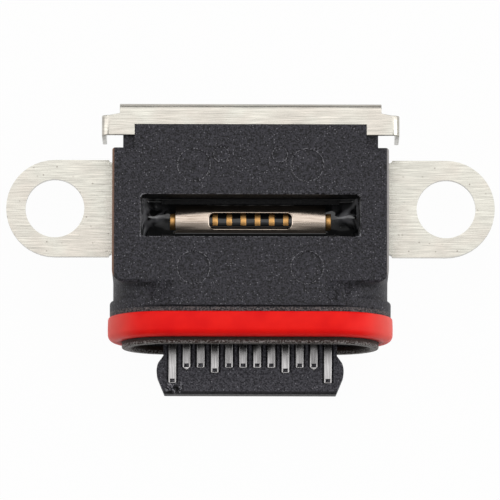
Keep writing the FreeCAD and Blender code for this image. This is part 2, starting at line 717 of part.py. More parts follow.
def housing(bracket, inner_parts):
    """The moulding with its mouth, slot, marks and pockets, closed round the parts that lie in it."""
    body = housing_outside()
    cutters = (mouth_cutter(), flange_groove(), slot_cutter(), ejector_marks(), bracket_pockets(), bracket)
    for cutter in cutters:
        body = body.cut(cutter)
    return body.cut(inner_parts).removeSplitter()


def sealant_outline(y, reach):
    """The compound's section at one depth of the slot: flat, and hollow towards its two ends."""
    start, rise = SLOT_HALF_WIDTH - reach, MENISCUS_TOP - SEALANT_TOP
    bend = (start + reach * (0.5 + MENISCUS_BOW), SEALANT_TOP + rise * (0.5 - MENISCUS_BOW))
    feet, tops, lows = [], [], []
    edges = []
    for side in (-1, 1):
        feet.append(in_front_view(side * start, SEALANT_TOP))
        tops.append(in_front_view(side * SLOT_HALF_WIDTH, MENISCUS_TOP))
        lows.append(in_front_view(side * SLOT_HALF_WIDTH, SLOT_FLOOR))
        edges.append(Part.Arc(feet[-1], in_front_view(side * bend[0], bend[1]), tops[-1]).toShape())
        edges.append(Part.LineSegment(tops[-1], lows[-1]).toShape())
    edges.append(Part.LineSegment(*feet).toShape())
    edges.append(Part.LineSegment(*lows).toShape())
    outline = Part.Wire(Part.__sortEdges__(edges))
    outline.translate(V(0, y, 0))
    return outline


def contact_web():
    """The compound between the contacts under the window, just below their upper faces."""
    points, radii = upper_contact_line(1)
    return across(bent_strip(points[1:5], radii[1:3], WEB_THICKNESS, in_side_view), WEB_HALF_WIDTH)


def slot_sealant(neighbours):
    """The compound that fills the bottom of the slot."""
    fill = rounded_slab(SLOT_HALF_WIDTH, SLOT_FRONT_Y, SLOT_REAR_Y, SLOT_FLOOR, BLOCK_TOP, SLOT_CORNER_R)
    ends = [
        sealant_outline(SLOT_FRONT_Y, MENISCUS_FRONT_REACH),
        sealant_outline(SLOT_REAR_Y, MENISCUS_REAR_REACH),
    ]
    pool = Part.makeLoft(ends, True, True).fuse(contact_web())
    return pool.common(fill).cut(neighbours)


def build():
    """Every node of the part by name."""
    uppers = {f"contact_a{i:02d}": upper_contact(i) for i in range(1, CONTACTS_PER_ROW + 1)}
    lowers = {f"contact_b{i:02d}": lower_contact(i) for i in range(1, CONTACTS_PER_ROW + 1)}
    upper_row = Part.makeCompound(list(uppers.values()))
    lower_row = Part.makeCompound(list(lowers.values()))
    plate, upper_shield, lower_shield = mid_plate(), upper_shield_plate(), lower_shield_plate()
    bracket = mounting_bracket()
    upper_block, lower_block = upper_carrier_block(), lower_carrier_block()
    in_tongue = Part.makeCompound([*uppers.values(), *lowers.values(), plate])
    in_housing = [upper_block, lower_block, mid_plate_room(), upper_shield, lower_shield]
    nodes = {
        "housing": housing(bracket, Part.makeCompound(in_housing)),
        "seal_ring": seal_ring(),
        "mounting_bracket": bracket,
        "rear_cover": rear_cover(),
        "tongue_body": tongue_body(in_tongue),
        "upper_carrier": upper_block.cut(upper_row),
        "lower_carrier": lower_block.cut(lower_row),
        "mid_plate": plate,
        "upper_shield_plate": upper_shield,
        "lower_shield_plate": lower_shield,
        "slot_sealant": slot_sealant(Part.makeCompound([upper_block, upper_row, upper_shield])),
    }
    return {**nodes, **uppers, **lowers}


def write(nodes):
    """One file for each node."""
    os.makedirs("parts", exist_ok=True)
    for name, shape in nodes.items():
        solids = shape.Solids
        single = solids[0] if len(solids) == 1 else Part.makeCompound(solids)
        single.exportStep(f"parts/{name}.step")
        print(f"{name:22s} solids {len(solids)} valid {shape.isValid()} volume {shape.Volume:.4f}")


write(build())
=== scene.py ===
import functools
import logging
import math
from dataclasses import dataclass
from enum import Enum

import bmesh
import bpy
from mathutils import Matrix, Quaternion, Vector, noise
from mathutils.bvhtree import BVHTree


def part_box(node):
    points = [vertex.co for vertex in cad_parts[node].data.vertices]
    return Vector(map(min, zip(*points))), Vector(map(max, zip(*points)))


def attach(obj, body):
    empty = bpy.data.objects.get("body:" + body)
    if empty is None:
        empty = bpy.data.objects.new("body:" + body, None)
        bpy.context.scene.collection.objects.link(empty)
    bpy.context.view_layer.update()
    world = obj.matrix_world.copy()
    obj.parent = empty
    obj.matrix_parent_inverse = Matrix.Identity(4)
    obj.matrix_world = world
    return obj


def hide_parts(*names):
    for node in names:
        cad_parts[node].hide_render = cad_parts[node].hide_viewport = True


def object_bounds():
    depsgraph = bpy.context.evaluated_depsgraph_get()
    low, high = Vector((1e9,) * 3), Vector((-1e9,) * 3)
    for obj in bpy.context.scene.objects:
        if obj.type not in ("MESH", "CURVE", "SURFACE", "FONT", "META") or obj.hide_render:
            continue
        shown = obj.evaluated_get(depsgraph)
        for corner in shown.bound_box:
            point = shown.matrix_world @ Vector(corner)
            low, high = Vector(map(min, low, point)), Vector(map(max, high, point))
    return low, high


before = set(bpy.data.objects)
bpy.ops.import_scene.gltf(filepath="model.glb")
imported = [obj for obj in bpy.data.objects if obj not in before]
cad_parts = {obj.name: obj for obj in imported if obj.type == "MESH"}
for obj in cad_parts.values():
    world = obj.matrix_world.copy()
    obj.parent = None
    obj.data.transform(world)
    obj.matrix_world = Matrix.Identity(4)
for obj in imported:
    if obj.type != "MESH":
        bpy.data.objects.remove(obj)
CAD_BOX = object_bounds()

Socket = bpy.types.NodeSocket
# Two values that go together, such as where something starts and where it is full
Pair = tuple[float, float]

# A sealed receptacle module for a phone-sized device. Its pieces are dressed where the frame has them.
# Lengths in the classes are in millimetres, meshes are scaled to metres at the end, and all of it rides on
# the one body of the part.

MM = 0.001
BODY = "root"

# Sockets of the Mix node when it blends colours, and when it blends numbers
COLOUR_A, COLOUR_B = 6, 7
NUMBER_A, NUMBER_B = 2, 3
BLEND = {"output": 2, "data_type": "RGBA"}

WHITE = (1.0, 1.0, 1.0, 1.0)
# Nearly all of a noise pattern lies between these values
NOISE_LIMITS = (0.3, 0.7)
# A speck is full up to this share of its cell
SPECK_CORE = 0.05
# Points closer than MERGE are one, and points within CUT of a cut lie on it
MERGE = 0.0005
CUT = 0.0001
# Edges that turn by fewer degrees than this lie in a flat face
FLAT_TURN = 0.5
# The top face of the housing's block
BLOCK_TOP = 3.35


class Slot(Enum):
    """The record's material slots."""

    HOUSING = "moulded_black"
    TONGUE = "tongue_black"
    INSULATOR = "insulator_black"
    SEAL = "seal_silicone"
    BRACKET = "bracket_steel"
    COVER = "cover_steel"
    SHIELD = "shield_metal"
    CONTACT = "contact_metal"
    SEALANT = "sealing_compound"


@dataclass(frozen=True)
class EjectorMark:
    """Where two ejector pins stood, on both sides of the middle, and the radius of the pale ring painted
    round the mark as a highlight.
    """

    x: float
    y: float
    radius: float
    highlight_radius: float


MARKS = (
    EjectorMark(2.0, 1.12, radius=0.60, highlight_radius=0.58),
    EjectorMark(2.0, -2.53, radius=0.60, highlight_radius=0.58),
    EjectorMark(1.03, 1.49, radius=0.31, highlight_radius=0.27),
)


def linear(hex_colour: str) -> tuple[float, float, float, float]:
    """Turns an sRGB hex colour into Blender's linear colour.

    Args:
        hex_colour: Six hex digits after a hash.

    Returns:
        Red, green, blue and an alpha of 1.
    """
    channels = []
    for start in (1, 3, 5):
        value = int(hex_colour[start : start + 2], 16) / 255
        channels.append(value / 12.92 if value <= 0.04045 else ((value + 0.055) / 1.055) ** 2.4)
    return (channels[0], channels[1], channels[2], 1.0)


def per_metre(size_mm: float) -> float:
    """The scale at which a pattern of unit size repeats every size_mm."""
    return 1 / (size_mm * MM)


def pattern(
    place: Socket, size_mm: float, detail: float = 2.0, roughness: float = 0.5
) -> dict[str, Socket | float]:
    """The inputs of a noise texture whose largest lumps are size_mm wide."""
    return {"Vector": place, "Scale": per_metre(size_mm), "Detail": detail, "Roughness": roughness}


def ramp(
    value: Socket, start: float, end: float, low: float = 0.0, high: float = 1.0
) -> dict[str, Socket | float]:
    """The inputs of a Map Range node that goes from low at start to high at end."""
    return {"Value": value, "From Min": start, "From Max": end, "To Min": low, "To Max": high}


def between(value: Socket, start: float, end: float, full: float = 1.0) -> dict[str, Socket | float]:
    """The inputs of a Map Range node that goes from 0 to full between two places in millimetres."""
    return ramp(value, start * MM, end * MM, high=full)


def add_node(
    tree: bpy.types.NodeTree, kind: str, inputs: dict | None = None, output: int | str = 0, **settings
) -> Socket | None:
    """Adds a node to a tree, sets its options and fills or links its sockets.

    Args:
        tree: The node tree of a material or the world.
        kind: Blender's name for the type of node, without the ShaderNode that they all begin with.
        inputs: For a socket's name or number, a plain value or the output socket that feeds it.
        output: The name or number of the output to give back.
        settings: The node's own options, by attribute name.

    Returns:
        The asked output, or None for a node that has none.
    """
    node = tree.nodes.new(f"ShaderNode{kind}")
    for name, value in settings.items():
        setattr(node, name, value)
    for key, value in (inputs or {}).items():
        if isinstance(value, Socket):
            tree.links.new(value, node.inputs[key])
        else:
            node.inputs[key].default_value = value
    return node.outputs[output] if node.outputs else None


def edges_of(geom: list) -> list[bmesh.types.BMEdge]:
    """The edges among what an operator gives back."""
    return [part for part in geom if isinstance(part, bmesh.types.BMEdge)]


def verts_of(geom: list) -> list[bmesh.types.BMVert]:
    """The corners among what an operator gives back."""
    return [part for part in geom if isinstance(part, bmesh.types.BMVert)]


class Surface:
    """A material being built, with the coordinates of the piece that its patterns follow."""

    def __init__(self, name: str) -> None:
        """Starts an empty material.

        Args:
            name: The common name of what the surface is made of.
        """
        self.material = bpy.data.materials.new(name)
        self.material.use_nodes = True
        self.material.node_tree.nodes.clear()
        self.add = functools.partial(add_node, self.material.node_tree)
        self.place = self.add("TexCoord", output="Object")
        self.x, self.y, self.z = (
            self.add("SeparateXYZ", {"Vector": self.place}, output=axis) for axis in "XYZ"
        )

    def specks(
        self,
        size_mm: float,
        reach: float,
        chosen: Pair,
        full: float = 1.0,
        channel: str = "Red",
        dimensions: str = "3D",
    ) -> Socket:
        """Scatters specks, at most one to a cell, each with a strength of its own.

        Args:
            size_mm: The size of a cell.
            reach: Where a speck ends, as a share of the cell.
            chosen: The cell's random number above which it has a speck, and at which the speck is full.
            full: The strength of a full speck.
            channel: The channel of the cell's random colour that gives its number.
            dimensions: Whether the cells are flat or solid.

        Returns:
            The strength at every place.
        """
        cells = {"Vector": self.place, "Scale": per_metre(size_mm)}
        kind = {"voronoi_dimensions": dimensions}
        distance = self.add("TexVoronoi", cells, output="Distance", **kind)
        near = self.add("MapRange", ramp(distance, SPECK_CORE, reach, low=full, high=0.0))
        colour = self.add("TexVoronoi", cells, output="Color", **kind)
        number = self.add("SeparateColor", {"Color": colour}, output=channel)
        there = self.add("MapRange", ramp(number, *chosen))
        return self.add("Math", {0: near, 1: there}, operation="MULTIPLY")

    def finish(self, inputs: dict, height: Socket, relief_mm: float) -> bpy.types.Material:
        """Closes the material with its shader.

        Args:
            inputs: The shader's sockets by name, all but its normal.
            height: The pattern that stands out of the surface.
            relief_mm: How far it stands out.

        Returns:
            The finished material.
        """
        bump = self.add("Bump", {"Height": height, "Distance": relief_mm * MM})
        shader = self.add("BsdfPrincipled", {**inputs, "Normal": bump})
        self.add("OutputMaterial", {"Surface": shader})
        return self.material


@dataclass(frozen=True)
class GlassFilledPolymer:
    """Black glass-filled polymer, moulded in a spark-eroded tool.

    It is matt and mottled, and pale specks are painted on it where the ends of glass fibres glint: partly the
    fibres' own colour, partly painted glints.
    The ends of real fibres are too fine to show, so the specks are coarser.
    """

    name: str
    dark: str = "#0c0b0e"
    light: str = "#3b3a40"
    # colour of the pale specks: partly the glass fibres, partly painted glints
    fibre_glint: str = "#9c9ba1"
    mottle_mm: float = 0.12
    grit_mm: float = 0.06
    tones: Pair = (0.8, 1.2)
    speck_mm: float = 0.085
    speck_reach: float = 0.27
    speck_share: float = 0.65
    relief_mm: float = 0.02
    roughness: Pair = (0.45, 0.65)
    specular: float = 0.22

    def colour(self, s: Surface, ground: Socket) -> Socket:
        """Lets a kind of this polymer change its colour in places. Here it stays as it is.

        Args:
            s: The material being built.
            ground: The polymer's own colour.

        Returns:
            The colour to use.
        """
        return ground

    def material(self) -> bpy.types.Material:
        """Builds the material."""
        s = Surface(self.name)
        mottle = s.add("TexNoise", pattern(s.place, self.mottle_mm, detail=3.0, roughness=0.6))
        grit = s.add("TexNoise", pattern(s.place, self.grit_mm))
        both = s.add("Math", {0: mottle, 1: grit}, operation="ADD")
        tone = s.add("MapRange", ramp(both, *self.tones))
        ground = s.add("Mix", {0: tone, COLOUR_A: linear(self.dark), COLOUR_B: linear(self.light)}, **BLEND)
        # painted glints: pale specks stand for the ends of glass fibres catching the light
        speck = s.specks(self.speck_mm, self.speck_reach, chosen=(1 - self.speck_share, 1.0))
        specked = s.add("Mix", {0: speck, COLOUR_A: ground, COLOUR_B: linear(self.fibre_glint)}, **BLEND)
        inputs = {
            "Base Color": self.colour(s, specked),
            "Roughness": s.add("MapRange", ramp(mottle, *NOISE_LIMITS, *self.roughness)),
            "Specular IOR Level": self.specular,
        }
        return s.finish(inputs, height=both, relief_mm=self.relief_mm)


@dataclass(frozen=True)
class DustAndPaintedLightPolymer(GlassFilledPolymer):
    """The housing's polymer: dusty beside the seal, with highlights painted as pale lines round the slot's
    rim, the ejector marks and the flange, a painted sheen on the block's right upper side edge, a brown tone
    on its left one, and painted shade on the slot's walls.

    The dust lies in crumbs, which are coarser than the real ones so that they show.
    """

    crumb_mm: float = 0.06
    broken: Pair = (0.44, 0.62)
    top_depth: Pair = (0.08, 0.04)
    slot_half: Pair = (3.88, 0.755)
    slot_middle_y: float = -0.675
    # a pale line painted round the slot's rim as the highlight of its rounded edge; the same pale colour
    # paints the highlight rings of the ejector marks
    slot_rim: float = 0.035
    rim_share: float = 0.8
    rim_shine: str = "#9d9ca1"
    # the block's upper side edges: a painted sheen of the right lamp on the right one, a pale brown tone on
    # the left one
    side_xs: Pair = (4.80, 4.83)
    side_depth: Pair = (0.55, 0.15)
    side_share: float = 0.8
    side_turn_xs: Pair = (-1.0, 1.0)
    left_edge_tone: str = "#936f5a"
    right_edge_sheen: str = "#a7a3a1"
    # a pale crumbly band painted on the flange top as the highlight of its ridge
    flange_ys: Pair = (-4.07, -3.92)
    flange_fade: float = 0.02
    flange_share: float = 0.5
    flange_sheen: str = "#7d706b"
    mark_width: float = 0.025
    mark_share: float = 0.65
    seal_front_ys: Pair = (-4.88, -4.93)
    seal_share: float = 0.85
    dust: str = "#28150a"
    collar_ys: Pair = (-5.03, -5.08)
    crumb: str = "#918e8c"
    # painted shade: the slot's walls below its top are painted near black
    slot_shade_past: Pair = (0.06, 0.03)
    slot_shade_depth: Pair = (0.05, 0.12)
    slot_shade: str = "#040405"

    def marks(self, s: Surface, out_x: Socket) -> Socket:
        """Finds the pale rings painted round the ejector marks as highlights.

        Args:
            s: The material being built.
            out_x: How far the place lies from the middle.

        Returns:
            The share of painted highlight that the marks give.
        """
        on_half = s.add("CombineXYZ", {"X": out_x, "Y": s.y})
        on_marks = 0.0
        for mark in MARKS:
            centre = Vector((mark.x, mark.y, 0)) * MM
            away = s.add("VectorMath", {0: on_half, 1: centre}, output="Value", operation="DISTANCE")
            off_ring = s.add("Math", {0: away, 1: mark.highlight_radius * MM}, operation="SUBTRACT")
            off = s.add("Math", {0: off_ring}, operation="ABSOLUTE")
            ring = s.add("MapRange", between(off, self.mark_width, self.mark_width / 2, self.mark_share))
            on_marks = s.add("Math", {0: on_marks, 1: ring}, operation="MAXIMUM")
        return on_marks

    def colour(self, s: Surface, ground: Socket) -> Socket:
        """Adds the dust, the painted highlights and sheen, the side tone and the painted shade, as
        GlassFilledPolymer describes.
        """
        crumbs = s.add("TexNoise", pattern(s.place, self.crumb_mm, roughness=0.7))
        broken = s.add("MapRange", ramp(crumbs, *self.broken))
        out_x = s.add("Math", {0: s.x}, operation="ABSOLUTE")
        from_slot = s.add("Math", {0: s.y, 1: self.slot_middle_y * MM}, operation="SUBTRACT")
        out_y = s.add("Math", {0: from_slot}, operation="ABSOLUTE")
        past_end = s.add("Math", {0: out_x, 1: self.slot_half[0] * MM}, operation="SUBTRACT")
        past_side = s.add("Math", {0: out_y, 1: self.slot_half[1] * MM}, operation="SUBTRACT")
        past_rim = s.add("Math", {0: past_end, 1: past_side}, operation="MAXIMUM")
        at_top, high_up, below = (
            s.add("MapRange", between(s.z, BLOCK_TOP - start, BLOCK_TOP - end))
            for start, end in (self.top_depth, self.side_depth, self.slot_shade_depth)
        )
        flange_front, flange_rear = self.flange_ys
        shares = {
            "slot_rim": (between(past_rim, self.slot_rim, 0.0, self.rim_share), at_top),
            "sides": (between(out_x, *self.side_xs, self.side_share), high_up),
            "flange": (
                between(s.y, flange_front, flange_front + self.flange_fade, self.flange_share),
                s.add("MapRange", between(s.y, flange_rear + self.flange_fade, flange_rear)),
            ),
            # painted shade on the slot's walls
            "slot": (between(past_rim, *self.slot_shade_past), below),
            "collar": (between(s.y, *self.collar_ys), broken),
        }
        on = {}
        for name, (place, other) in shares.items():
            share = s.add("MapRange", place)
            on[name] = s.add("Math", {0: share, 1: other}, operation="MULTIPLY")
        on_marks = s.add("Math", {0: self.marks(s, out_x), 1: at_top}, operation="MULTIPLY")
        to_right = s.add("MapRange", between(s.x, *self.side_turn_xs))
        side_tone = s.add(
            "Mix",
            {0: to_right, COLOUR_A: linear(self.left_edge_tone), COLOUR_B: linear(self.right_edge_sheen)},
            **BLEND,
        )
        rim, marks, flange = (
            s.add("Math", {0: broken, 1: share}, operation="MULTIPLY")
            for share in (on["slot_rim"], on_marks, on["flange"])
        )
        by_seal = s.add("MapRange", between(s.y, *self.seal_front_ys, self.seal_share))
        colour = ground
        layers = (
            (by_seal, linear(self.dust)),
            # painted sheen on the right upper side edge, brown tone on the left one
            (on["sides"], side_tone),
            # painted highlight along the slot's rim
            (rim, linear(self.rim_shine)),
            # painted highlight rings round the ejector marks
            (marks, linear(self.rim_shine)),
            (on["collar"], linear(self.crumb)),
            # painted highlight on the flange top
            (flange, linear(self.flange_sheen)),
            # painted shade on the slot's walls
            (on["slot"], linear(self.slot_shade)),
        )
        for share, tone in layers:
            colour = s.add("Mix", {0: share, COLOUR_A: colour, COLOUR_B: tone}, **BLEND)
        return colour


@dataclass(frozen=True)
class GatedPolymer(GlassFilledPolymer):
    """The tongue's polymer, torn pale and cracked dark at its gate, with painted shade on the front chamfer
    at the lead-in.
    """

    dark: str = "#15141a"
    light: str = "#4c4b51"
    # colour of the pale specks: partly the glass fibres, partly painted glints
    fibre_glint: str = "#aeadb4"
    speck_share: float = 0.4
    gate_at: tuple[float, float, float] = (-2.68, -6.60, 1.6)
    gate_reach: Pair = (0.34, 0.26)
    tear_mm: float = 0.16
    tear: Pair = (0.53, 0.62)
    torn: str = "#b3b2b8"
    cracks: Pair = (0.48, 0.42)
    crack: str = "#040405"
    # painted shade: the front chamfer at the lead-in is painted dark
    tip_shade_ys: Pair = (-6.69, -6.72)
    tip_shade_share: float = 0.8
    tip_shade: str = "#0a090b"

    def colour(self, s: Surface, ground: Socket) -> Socket:
        """Adds the tear of the gate and the painted shade at the lead-in."""
        gate = Vector(self.gate_at) * MM
        away = s.add("VectorMath", {0: s.place, 1: gate}, output="Value", operation="DISTANCE")
        near = s.add("MapRange", between(away, *self.gate_reach))
        lumps = s.add("TexNoise", pattern(s.place, self.tear_mm, detail=3.0, roughness=0.65))
        # painted shade on the lead-in's front chamfer
        at_tip = s.add("MapRange", between(s.y, *self.tip_shade_ys, self.tip_shade_share))
        colour = s.add("Mix", {0: at_tip, COLOUR_A: ground, COLOUR_B: linear(self.tip_shade)}, **BLEND)
        for limits, tone in ((self.tear, self.torn), (self.cracks, self.crack)):
            part = s.add("MapRange", ramp(lumps, *limits))
            share = s.add("Math", {0: part, 1: near}, operation="MULTIPLY")
            colour = s.add("Mix", {0: share, COLOUR_A: colour, COLOUR_B: linear(tone)}, **BLEND)
        return colour


@dataclass(frozen=True)
class SiliconeRubber:
    """Red liquid silicone rubber, moulded smooth: satin, and paler towards its two ends from dust and a
    painted sheen of the side lamps.
    """

    name: str = "liquid_silicone_rubber"
    body: str = "#f4170f"
    deep: str = "#e60b0d"
    wave_mm: float = 0.8
    # the pale colour towards both ends: partly dust, partly a painted sheen of the side lamps
    dust: str = "#e27f74"
    dust_and_sheen_xs: Pair = (3.7, 5.3)
    dust_and_sheen_share: float = 0.5
    grain_mm: float = 0.05
    relief_mm: float = 0.002
    roughness: Pair = (0.44, 0.58)
    specular: float = 0.14

    def material(self) -> bpy.types.Material:
        """Builds the material."""
        s = Surface(self.name)
        wave = s.add("TexNoise", pattern(s.place, self.wave_mm))
        share = s.add("MapRange", ramp(wave, *NOISE_LIMITS))
        red = s.add("Mix", {0: share, COLOUR_A: linear(self.body), COLOUR_B: linear(self.deep)}, **BLEND)
        out = s.add("Math", {0: s.x}, operation="ABSOLUTE")
        to_end = s.add(
            "MapRange",
            between(out, *self.dust_and_sheen_xs, self.dust_and_sheen_share),
            interpolation_type="SMOOTHERSTEP",
        )
        # dust and painted sheen towards the ends
        dusty = s.add("Mix", {0: to_end, COLOUR_A: red, COLOUR_B: linear(self.dust)}, **BLEND)
        grain = s.add("TexNoise", pattern(s.place, self.grain_mm))
        inputs = {
            "Base Color": dusty,
            "Roughness": s.add("MapRange", ramp(wave, *NOISE_LIMITS, *self.roughness)),
            "Specular IOR Level": self.specular,
        }
        return s.finish(inputs, height=grain, relief_mm=self.relief_mm)


@dataclass(frozen=True)
class RolledStainless:
    """Cold-rolled stainless sheet: pale and warm, with a fine grain along the strip and a few pits."""

    name: str
    pale: str = "#d0cec4"
    rosy: str = "#ccc5bb"
    tint_mm: float = 1.3
    tints: Pair = (0.42, 0.62)
    shade: str = "#95928b"
    streak_length_mm: float = 0.8
    streak_width_mm: float = 0.026
    band_width_mm: float = 0.045
    tones: Pair = (0.55, 1.45)
    pit: str = "#7d7770"
    pit_mm: float = 0.3
    pit_reach: float = 0.13
    pit_share: float = 0.85
    pitted: Pair = (0.72, 0.95)
    relief_mm: float = 0.003
    roughness: Pair = (0.17, 0.29)

    def material(self) -> bpy.types.Material:
        """Builds the material. The grain turns down with the sheet where it is folded."""
        s = Surface(self.name)
        facing = s.add("TexCoord", output="Normal")
        facing_y = s.add("SeparateXYZ", {"Vector": facing}, output="Y")
        upright = s.add("Math", {0: facing_y}, operation="ABSOLUTE")
        across = s.add("Mix", {0: upright, NUMBER_A: s.y, NUMBER_B: s.z}, data_type="FLOAT")
        run = s.add("Math", {0: s.x, 1: s.z}, operation="ADD")
        stretch = self.streak_width_mm / self.streak_length_mm
        along = s.add("Math", {0: run, 1: stretch}, operation="MULTIPLY")
        on_sheet = s.add("CombineXYZ", {"X": along, "Y": across})
        grain = s.add("TexNoise", pattern(on_sheet, self.streak_width_mm, detail=3.0, roughness=0.65))
        bands = s.add("TexNoise", pattern(on_sheet, self.band_width_mm))
        both = s.add("Math", {0: grain, 1: bands}, operation="ADD")
        tone = s.add("MapRange", ramp(both, *self.tones))
        tint = s.add("TexNoise", pattern(s.place, self.tint_mm))
        rose = s.add("MapRange", ramp(tint, *self.tints))
        bright = s.add("Mix", {0: rose, COLOUR_A: linear(self.pale), COLOUR_B: linear(self.rosy)}, **BLEND)
        sheet = s.add("Mix", {0: tone, COLOUR_A: bright, COLOUR_B: linear(self.shade)}, **BLEND)
        pits = s.specks(
            self.pit_mm, self.pit_reach, self.pitted, full=self.pit_share, channel="Green", dimensions="2D"
        )
        pitted = s.add("Mix", {0: pits, COLOUR_A: sheet, COLOUR_B: linear(self.pit)}, **BLEND)
        inputs = {
            "Base Color": pitted,
            "Metallic": 1.0,
            "Roughness": s.add("MapRange", ramp(grain, *NOISE_LIMITS, *self.roughness)),
        }
        return s.finish(inputs, height=grain, relief_mm=self.relief_mm)


@dataclass(frozen=True)
class PlatedPhosphorBronze:
    """Phosphor bronze strip: gold plated inside, grey where the plug wipes it, and darkened by a painted
    shadow of the collar in front of it.
    """

    name: str = "plated_phosphor_bronze"
    grey: str = "#a8a6a6"
    dull: str = "#7c7a7a"
    wipe_length_mm: float = 0.9
    wipe_width_mm: float = 0.03
    wipes: Pair = (0.38, 0.68)
    # painted shadow of the collar on the contacts in front of it
    collar_shadow: str = "#3c3b3b"
    collar_shadow_ys: Pair = (-5.80, -5.20)
    collar_shadow_share: float = 0.6
    gold: str = "#cc9d61"
    gold_ys: Pair = (-2.2, -1.7)
    gold_roughness: float = 0.45
    relief_mm: float = 0.002
    roughness: Pair = (0.20, 0.29)

    def material(self) -> bpy.types.Material:
        """Builds the material. The plating changes where the contacts go into the housing."""
        s = Surface(self.name)
        inside = s.add("MapRange", between(s.y, *self.gold_ys))
        stretch = self.wipe_width_mm / self.wipe_length_mm
        along = s.add("Math", {0: s.y, 1: stretch}, operation="MULTIPLY")
        on_strip = s.add("CombineXYZ", {"X": s.x, "Y": along})
        wiped = s.add("TexNoise", pattern(on_strip, self.wipe_width_mm, detail=3.0, roughness=0.6))
        share = s.add("MapRange", ramp(wiped, *self.wipes))
        colour = s.add("Mix", {0: share, COLOUR_A: linear(self.grey), COLOUR_B: linear(self.dull)}, **BLEND)
        # painted shadow of the collar
        collar_shaded = s.add("MapRange", between(s.y, *self.collar_shadow_ys, self.collar_shadow_share))
        for part, tone in ((collar_shaded, self.collar_shadow), (inside, self.gold)):
            colour = s.add("Mix", {0: part, COLOUR_A: colour, COLOUR_B: linear(tone)}, **BLEND)
        worn = s.add("MapRange", ramp(wiped, *NOISE_LIMITS, *self.roughness))
        rough = s.add("Mix", {0: inside, NUMBER_A: worn, NUMBER_B: self.gold_roughness}, data_type="FLOAT")
        inputs = {
            "Base Color": colour,
            "Metallic": 1.0,
            "Roughness": rough,
        }
        return s.finish(inputs, height=wiped, relief_mm=self.relief_mm)


@dataclass(frozen=True)
class NickelledSheet:
    """Thin stainless sheet with a bright nickel plating that is slightly warm."""

    name: str = "nickel_plated_sheet"
    pale: str = "#bdb0a4"
    warm: str = "#9b8d80"
    streak_length_mm: float = 0.8
    streak_width_mm: float = 0.04
    streaks: Pair = (0.35, 0.7)
    relief_mm: float = 0.002
    roughness: float = 0.22

    def material(self) -> bpy.types.Material:
        """Builds the material."""
        s = Surface(self.name)
        stretch = self.streak_width_mm / self.streak_length_mm
        along = s.add("Math", {0: s.x, 1: stretch}, operation="MULTIPLY")
        on_sheet = s.add("CombineXYZ", {"X": along, "Y": s.y})
        grain = s.add("TexNoise", pattern(on_sheet, self.streak_width_mm, detail=3.0, roughness=0.6))
        share = s.add("MapRange", ramp(grain, *self.streaks))
        sheet = s.add("Mix", {0: share, COLOUR_A: linear(self.pale), COLOUR_B: linear(self.warm)}, **BLEND)
        inputs = {
            "Base Color": sheet,
            "Metallic": 1.0,
            "Roughness": self.roughness,
        }
        return s.finish(inputs, height=grain, relief_mm=self.relief_mm)


@dataclass(frozen=True)
class EpoxyCompound:
    """Black epoxy, cured glossy with a few dust specks on it, and hazy grey where it has crept up thin."""

    name: str = "black_epoxy"
    body: str = "#08090a"
    haze: str = "#77777a"
    haze_rise: Pair = (0.08, 0.24)
    haze_xs: Pair = (2.85, 2.95)
    haze_mm: float = 0.4
    haze_swirl: float = 0.5
    patches: Pair = (0.36, 0.68)
    dust: str = "#8f8f90"
    speck_mm: float = 0.2
    speck_reach: float = 0.14
    specked: Pair = (0.9, 1.0)
    ripple_mm: float = 0.45
    relief_mm: float = 0.02
    roughness: float = 0.1
    specular: float = 0.5

    def material(self, level: float) -> bpy.types.Material:
        """Builds the material.

        Args:
            level: The height of the epoxy's level middle in the frame, in millimetres.

        Returns:
            The material.
        """
        s = Surface(self.name)
        low, high = (level + rise for rise in self.haze_rise)
        crept = s.add("MapRange", between(s.z, low, high))
        out = s.add("Math", {0: s.x}, operation="ABSOLUTE")
        at_ends = s.add("MapRange", between(out, *self.haze_xs))
        cloud = s.add(
            "TexNoise", {**pattern(s.place, self.haze_mm, detail=1.0), "Distortion": self.haze_swirl}
        )
        patchy = s.add("MapRange", ramp(cloud, *self.patches))
        crept_at_ends = s.add("Math", {0: crept, 1: at_ends}, operation="MULTIPLY")
        hazy = s.add("Math", {0: crept_at_ends, 1: patchy}, operation="MULTIPLY")
        body = s.add("Mix", {0: hazy, COLOUR_A: linear(self.body), COLOUR_B: linear(self.haze)}, **BLEND)
        speck = s.specks(self.speck_mm, self.speck_reach, self.specked)
        dusty = s.add("Mix", {0: speck, COLOUR_A: body, COLOUR_B: linear(self.dust)}, **BLEND)
        ripple = s.add("TexNoise", pattern(s.place, self.ripple_mm, detail=1.0))
        inputs = {
            "Base Color": dusty,
            "Roughness": self.roughness,
            "Specular IOR Level": self.specular,
        }
        return s.finish(inputs, height=ripple, relief_mm=self.relief_mm)


